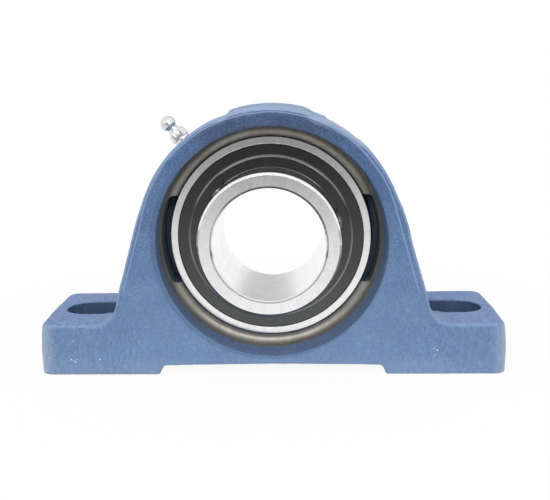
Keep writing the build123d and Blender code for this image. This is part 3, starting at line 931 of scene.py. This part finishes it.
def makeOuterRing():
    centre = race["pitchRadius"] + race["ballRadius"] + race["clearance"] - race["grooveRadius"]
    face = race["faceRadius"]
    # the sphere runs out into a nearly straight shoulder at each side face
    lean = degrees(acos(sqrt(sphereRadius**2 - face**2) / sphereRadius)) + 1.0
    sphere = arcOf(0, 0, sphereRadius, lean, 180 - lean, 40)
    land, seal, depth = race["landRadius"], race["sealSeat"], halfRing - race["sealDepth"]
    corners = [
        (halfRing, face, race["faceEdge"]), *sphere, (-halfRing, face, race["faceEdge"]),
        (-halfRing, seal, 0.12), (-depth, seal, 0), (-depth, land, 0.1),
        *reversed(raceArc(centre, land, False)),
        (depth, land, 0.1), (depth, seal, 0), (halfRing, seal, 0.12),
    ]
    return turnPiece("outerRing", rounded(corners), materials["ring"], 288)


def makeInnerRing():
    centre = race["pitchRadius"] - race["ballRadius"] - race["clearance"] + race["grooveRadius"]
    edge, hole, mouth = race["chamfer"], screw["hole"], innerRadius + 1.65
    corners = [
        (ringBack, boreRadius + edge, 0.15),
        (ringBack, innerRadius - edge, 0.2), (ringBack - edge, innerRadius, 0.2),
        *raceArc(centre, innerRadius, True),
        (edge - ringFront, innerRadius, 0.2), (-ringFront, innerRadius - edge, 0.2),
        (-ringFront, boreRadius + edge, 0.15), (edge - ringFront, boreRadius, 0.15),
        (ringBack - edge, boreRadius, 0.15),
    ]
    ring = turnPiece("innerRing", rounded(corners), materials["ring"], 256)
    holes = [
        turnPiece(
            "tappedHole",
            [(boreRadius - 3, 0, 0), (boreRadius - 3, hole, 0), (mouth - 2.0, hole, 0),
             (mouth, hole + 2.0, 0), (mouth, 0, 0)],
            materials["ring"], 48, False, way=way, along=screw["plane"],
        )
        for way in screwWays
    ]
    return tidyNormals(cutWith(ring, *holes))


outerRing = makeOuterRing()
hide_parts("outer_ring")
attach(outerRing, "outer")

innerRing = makeInnerRing()
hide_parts("inner_ring")
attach(innerRing, "inner")
print("rings turned")


# Seals and flingers, the same on both sides

seal = {
    "face": 10.42, "outside": 38.72, "inside": 33.1, "back": 9.1,
    "lipRadius": 28.75, "lipAlong": 8.4, "lipThick": 0.7, "thick": 0.8, "sheet": 0.6,
}
flinger = {
    "face": 11.0, "back": 10.5, "radius": 34.4, "rimWidth": 0.8, "rimProud": 0.08, "rimFall": 0.15,
    "sleeve": 9.2, "sleeveRadius": 28.66, "sheet": 0.8,
}


def turned(side, corners):
    # the profile for the front is the mirror image of the one for the back
    return rounded([(side * along, radius, edge) for along, radius, edge in corners])


def makeSeal(name, side):
    face, back, outside, inside = seal["face"], seal["back"], seal["outside"], seal["inside"]
    lip, lipAlong, sheet = seal["lipRadius"], seal["lipAlong"], seal["sheet"]
    return turnPiece(name, turned(side, [
        (face - 0.15, outside, 0.1), (face, outside - 0.15, 0.08), (face, inside, 0.2),
        (back, inside, 0.1), (lipAlong, lip, 0.05), (lipAlong - seal["lipThick"], lip, 0.1),
        (back - sheet, inside + sheet, 0), (face - seal["thick"], inside + sheet, 0),
        (face - seal["thick"], outside, 0),
    ]), materials["rubber"], 192)


def makeFlinger(name, side):
    face, back, radius = flinger["face"], flinger["back"], flinger["radius"]
    sleeve, low = flinger["sleeve"], flinger["sleeveRadius"]
    proud, outer = face + flinger["rimProud"], face + flinger["rimProud"] - flinger["rimFall"]
    inside = radius - flinger["rimWidth"]
    rim = [
        (face, inside - 0.25, 0.1), (proud, inside, 0.08), (outer, radius - 0.05, 0.05),
        (outer - 0.08, radius, 0.05),
    ]
    return turnPiece(name, turned(side, [
        *rim, (back, radius, 0.05), (back, low + flinger["sheet"], 0.15),
        (sleeve, low + flinger["sheet"], 0.1), (sleeve, low, 0.1),
        (face + 0.1, low, 0.12), (face + 0.1, low + 0.5, 0.12), (face, low + 0.75, 0.1),
    ]), materials["flinger"], 192)


for title, side in (("Front", -1), ("Rear", 1)):
    sealPiece = makeSeal(f"seal{title}", side)
    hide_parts(f"seal_{title.lower()}")
    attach(sealPiece, "outer")
    flingerPiece = makeFlinger(f"flinger{title}", side)
    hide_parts(f"flinger_{title.lower()}")
    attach(flingerPiece, "inner")
print("seals and flingers turned")


# Set screws: a threaded rod with a hexagon socket

def makeThreadTree():
    # a rod along local Y with a spiral thread, a point at its start and a chamfer at its end
    tree, graph, given = newTree(
        "threadedRod", radius=1.0, length=1.0, pitch=1.0, threadDepth=0.1, point=0.1, chamfer=0.1,
        segments=32, rows=64, material=None,
    )
    sheet, turn, row = sheetOf(graph, given["Segments"], given["Rows"])
    along = graph.clamp((row - 1) / (given["Rows"] - 2)) * given["Length"]
    spiral = graph.math("FRACT", along / given["Pitch"] + turn)
    groove = graph.clamp(abs(spiral * 2 - 1) * 1.3 - 0.15)
    reach = given["Radius"] - groove * given["Thread Depth"]
    reach = graph.math("MINIMUM", reach, given["Radius"] - given["Point"] + along)
    reach = graph.math("MINIMUM", reach, given["Radius"] - given["Chamfer"] + given["Length"] - along)
    reach = reach * ((row > 0.5) * (row < given["Rows"] - 0.5))
    rollUp(graph, sheet, graph.polar(reach, turn * (2 * pi), along), given["Material"])
    return tree


threadTree = makeThreadTree()


def makeScrew(name, way):
    piece = newPiece(name, meshFrom(name, [(0, 0, 0)]))
    lengths = ("radius", "length", "pitch", "threadDepth", "point", "chamfer")
    sizes = {name: screw[name] * mm for name in lengths}
    grow(piece, threadTree, **sizes, segments=48, rows=84, material=materials["screw"])
    start = screw["start"]
    piece.data.transform(standOn(way, screw["plane"]) @ Matrix.Translation((0, start * mm, 0)))
    tidyNormals(piece)
    end, floor = start + screw["length"], start + screw["length"] - screw["socketDepth"]
    mouth = screw["socket"] + 0.45
    socket = turnPiece("socket", [
        (floor - 0.9, 0, 0), (floor, screw["socket"], 1), (end - 0.25, screw["socket"], 1),
        (end + 0.3, mouth, 0), (end + 1.0, mouth, 0), (end + 1.0, 0, 0),
    ], materials["screw"], 48, False, way=way, along=screw["plane"])
    return tidyNormals(cutWith(piece, socket), 30)


for number, way in enumerate(screwWays, start=1):
    screwPiece = makeScrew(f"setScrew{number}", way)
    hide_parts(f"set_screw_{number}")
    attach(screwPiece, f"screw_{number}")
print("set screws threaded")


# Grease nipple: distances along its axis from the middle of the bearing

nipple = {
    "shank": 48.2, "shankRadius": 2.9, "flange": 54.45, "flangeRadius": 3.55,
    "hexagon": 55.7, "hexagonFlat": 3.5, "hexagonEnd": 58.9,
    "collarEnd": 59.6, "collarRadius": 3.05, "neckRadius": 2.2, "neckEnd": 61.1,
    "head": 62.6, "headEnd": 64.6, "headRadius": 3.25, "tip": 66.7, "tipRadius": 1.7,
    "valve": 1.4, "valveStart": 56.0, "valveEnd": 64.9, "orifice": 0.8,
}


def makeNipple():
    def corner(along, radius, edge=0):
        return nipple[along], nipple[radius], edge

    start, end, flat = nipple["hexagon"], nipple["hexagonEnd"], nipple["hexagonFlat"]
    corners = [
        corner("shank", "orifice"), corner("shank", "shankRadius", 0.3), corner("flange", "shankRadius"),
        corner("flange", "flangeRadius", 0.15), corner("hexagon", "flangeRadius", 0.3),
        (start, flat - 0.15, 0, 0.6), (start + 0.15, flat, 0, 1.0),
        (end - 0.3, flat, 0, 1.0), (end, flat - 0.1, 0, 0.25),
        corner("collarEnd", "collarRadius", 0.1), corner("collarEnd", "neckRadius", 0.35),
        corner("neckEnd", "neckRadius", 0.3), corner("head", "headRadius", 0.8),
        corner("headEnd", "headRadius", 1.1), corner("tip", "tipRadius", 0.45), corner("tip", "orifice", 0.2),
        corner("valveEnd", "orifice"), corner("valveEnd", "valve"),
        corner("valveStart", "valve"), corner("valveStart", "orifice"),
    ]
    return turnPiece("greaseNipple", rounded(corners), materials["zinc"], 96, way=nippleWay, twist=30)


nipplePiece = makeNipple()
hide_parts("grease_nipple")
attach(nipplePiece, "housing")


# The spring behind the check ball, made at one length, though the real one shortens as the ball lifts

spring = {"turns": 7.0, "radius": 0.95, "wire": 0.14, "lift": 0.8}


def makeSpringTree():
    # a wound wire along local Z, closed at both ends
    tree, graph, given = newTree(
        "woundWire", turns=5.0, radius=1.0, wire=0.1, length=1.0, material=None
    )
    path = graph.node("GeometryNodeCurveSpiral", {
        "Resolution": 28, "Rotations": given["Turns"],
        "Start Radius": given["Radius"], "End Radius": given["Radius"], "Height": given["Length"],
    })
    circle = {"Resolution": 12, "Radius": given["Wire"]}
    section = graph.node("GeometryNodeCurvePrimitiveCircle", circle, mode="RADIUS")
    curves = {"Curve": path, "Profile Curve": section, "Fill Caps": True}
    wound = graph.node("GeometryNodeCurveToMesh", curves)
    finishTree(graph, wound, given["Material"])
    return tree


def makeSpring():
    middle = Vector((0, 0, shaftHeight * mm))
    reach = [(vertex.co - middle).dot(nippleWay) for vertex in nodes["nipple_spring"].data.vertices]
    start, length = min(reach), max(reach) - min(reach)
    wire = spring["wire"] * mm
    piece = newPiece("nippleSpring", meshFrom("nippleSpring", [(0, 0, 0)]))
    grow(
        piece, makeSpringTree(), turns=spring["turns"], radius=spring["radius"] * mm, wire=wire,
        length=length - 2 * wire, material=materials["cage"],
    )
    turn = Matrix.Rotation(-pi / 2, 4, "X")
    piece.data.transform(standOn(nippleWay) @ Matrix.Translation((0, start + wire, 0)) @ turn)
    tidyNormals(piece)
    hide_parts("nipple_spring")
    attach(piece, "housing")
    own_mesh(piece)
    return piece


makeSpring()


# Cage rivets: one domed rivet, copied round the cage

rivet = {"count": 9, "pitchRadius": 32.5, "radius": 0.8, "headRadius": 1.5, "sheet": 0.8, "headHeight": 0.7}


def makeRingOfCopies():
    tree, graph, given = newTree("ringOfCopies", count=9, ringRadius=1.0, material=None)
    index = graph.node("GeometryNodeInputIndex")
    angle = (index + 0.5) / given["Count"] * (2 * pi) + pi / 2
    line = graph.node("GeometryNodeMeshLine", {"Count": given["Count"]})
    place = graph.polar(given["Ring Radius"], angle, 0.0)
    places = graph.node("GeometryNodeSetPosition", {"Geometry": line, "Position": place})
    copied = {"Points": places, "Instance": given["Geometry"]}
    copies = graph.node("GeometryNodeInstanceOnPoints", copied)
    finishTree(graph, copies, given["Material"])
    return tree


def makeRivets():
    sheet, top = rivet["sheet"], rivet["sheet"] + rivet["headHeight"]
    shank, head = rivet["radius"], rivet["headRadius"]
    piece = turnPiece("cageRivets", rounded([
        (-top, 0, 0), (-top, shank, 0.3), (-sheet, head, 0), (-sheet, shank, 0),
        (sheet, shank, 0), (sheet, head, 0), (top, shank, 0.3), (top, 0, 0),
    ], False), materials["cage"], 24, False)
    piece.data.transform(Matrix.Translation((0, 0, -shaftHeight * mm)))
    grow(
        piece, makeRingOfCopies(), count=rivet["count"], ringRadius=rivet["pitchRadius"] * mm,
        material=materials["cage"],
    )
    piece.data.transform(Matrix.Translation((0, 0, shaftHeight * mm)))
    return tidyNormals(piece)


rivetPiece = makeRivets()
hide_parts("cage_rivets")
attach(rivetPiece, "cage")
print("nipple, spring and rivets made")


# The solids that keep their own shape

finishes = {
    "cage_front": "cage", "cage_rear": "cage",
    "seal_core_front": "cage", "seal_core_rear": "cage", "nipple_ball": "ball",
    **{f"ball_{number}": "ball" for number in range(1, 10)},
}
for node, finish in finishes.items():
    nodes[node].data.materials.clear()
    nodes[node].data.materials.append(materials[finish])


# Studio: floor, world, softbox and camera

studio = {
    "floorSize": 8.0,
    "floorWhite": 0.93, "farWhite": 0.14, "fadeDistance": 0.16,
    "mirrorNear": 0.78, "mirrorFar": 0.22, "mirrorFade": 0.55,    # the table as the steel mirrors it
    "floorGlow": 0.92,
    "front": 0.3, "around": 0.4, "top": 0.95,
    "tent": 1.0, "behind": 1.0, "behindHigh": 0.6,            # what the steel mirrors of the room
    "softboxPlace": (0.0, -0.8, 0.52), "softboxSize": (1.15, 0.18), "softboxPower": 3.6,
}


def raysIn(graph):
    # 1 for what the camera sees, and 1 for what metal and glass show of the studio
    camera, mirror, glass = (
        graph.node("ShaderNodeLightPath", output=f"Is {kind} Ray")
        for kind in ("Camera", "Glossy", "Transmission")
    )
    return camera, graph.math("MAXIMUM", mirror, glass)


def fallOff(distance, reach):
    share = distance / reach
    return 1 / (1 + share * share)


def makeFloor():
    half = studio["floorSize"] / 2
    level = -0.05 * mm
    floor = newPiece("floor", meshFrom(
        "floor", [(-half, -half, level), (half, -half, level), (half, half, level), (-half, half, level)],
        [(0, 1, 2, 3)],
    ))
    material = bpy.data.materials.new("paleFloor")
    graph = freshGraph(material)
    x, y, _ = graph.split(graph.node("ShaderNodeTexCoord", output="Object"))
    distance = graph.math("SQRT", x * x + y * y)
    rays, glossy = raysIn(graph)
    # the table is small, so it lights the object from close by and fades further off
    tone = between(studio["farWhite"], studio["floorWhite"], fallOff(distance, studio["fadeDistance"]))
    tone = between(tone, 1.0, rays)
    # the floor glows for mirrored rays: a painted reflection, brightest near the object and behind it
    mirrored = studio["mirrorFar"] + studio["mirrorNear"] * fallOff(distance, studio["mirrorFade"])
    mirrored = between(mirrored, studio["behind"], graph.ease(y, 0.0, 0.3))
    matt = graph.node("ShaderNodeBsdfDiffuse", {"Color": graph.join(tone, tone, tone)})
    shown = {"Color": (1, 1, 1, 1), "Strength": rays + glossy * mirrored}
    white = graph.node("ShaderNodeEmission", shown)
    glow = between(studio["floorGlow"], 1.0, graph.ease(distance, 0.14, 0.32))
    mixed = graph.node("ShaderNodeMixShader", {"Fac": rays * glow + glossy, 1: matt, 2: white})
    graph.node("ShaderNodeOutputMaterial", {"Surface": mixed})
    floor.data.materials.append(material)


def makeWorld():
    # white to the camera; a dim room in front of the object, pale all round and bright above
    world = bpy.data.worlds.new("studio")
    bpy.context.scene.world = world
    graph = freshGraph(world)
    _, y, z = graph.split(graph.node("ShaderNodeTexCoord", output="Generated"))
    room = between(studio["around"], studio["front"], graph.ease(0 - y, 0.0, 0.8))
    room = between(room, studio["top"], graph.ease(z, 0.35, 0.9))
    camera, glossy = raysIn(graph)
    behind = between(studio["behind"], studio["behindHigh"], graph.ease(z, 0.1, 0.24))
    overhead = graph.ease(z, 0.0, 0.08) * (1 - graph.ease(0 - y, 0.9, 1.0))
    mirrored = between(room, studio["tent"], overhead)
    mirrored = between(mirrored, behind, graph.ease(y, 0.4, 0.7))
    room = between(room, mirrored, glossy)
    shown = {"Color": (1, 1, 1, 1), "Strength": between(room, 1.0, camera)}
    back = graph.node("ShaderNodeBackground", shown)
    graph.node("ShaderNodeOutputWorld", {"Surface": back})


def makeSoftbox():
    light = bpy.data.lights.new("softbox", "AREA")
    light.shape = "RECTANGLE"
    light.size, light.size_y = studio["softboxSize"]
    light.energy = studio["softboxPower"]
    lamp = bpy.data.objects.new("softbox", light)
    lamp.location = studio["softboxPlace"]
    aim = Vector((0, 0, 0.05)) - lamp.location
    lamp.rotation_euler = aim.to_track_quat("-Z", "Y").to_euler()
    bpy.context.scene.collection.objects.link(lamp)


lens = {
    "place": (10.994, -305.461, 105.828),
    "pitch": 10.987, "yaw": -1.796, "roll": -0.79,
    "pixels": 717.033, "imageWidth": 550, "sensor": 36.0,
}


def makeCamera():
    pitch, yaw, roll = (radians(lens[k]) for k in ("pitch", "yaw", "roll"))
    ahead = Vector((sin(yaw) * cos(pitch), cos(yaw) * cos(pitch), -sin(pitch)))
    right = Vector((cos(yaw), -sin(yaw), 0))
    up = right.cross(ahead)
    rolledRight = cos(roll) * right + sin(roll) * up
    rolledUp = cos(roll) * up - sin(roll) * right
    data = bpy.data.cameras.new("camera")
    data.sensor_width = lens["sensor"]
    data.lens = lens["sensor"] * lens["pixels"] / lens["imageWidth"]
    data.clip_start = 0.01
    camera = bpy.data.objects.new("camera", data)
    turn = Matrix((rolledRight, rolledUp, -ahead)).transposed().to_4x4()
    camera.matrix_world = Matrix.Translation(Vector(lens["place"]) * mm) @ turn
    bpy.context.scene.collection.objects.link(camera)
    bpy.context.scene.camera = camera


makeFloor()
makeWorld()
makeSoftbox()
makeCamera()
bpy.context.scene.view_settings.view_transform = "Standard"
print("studio ready")
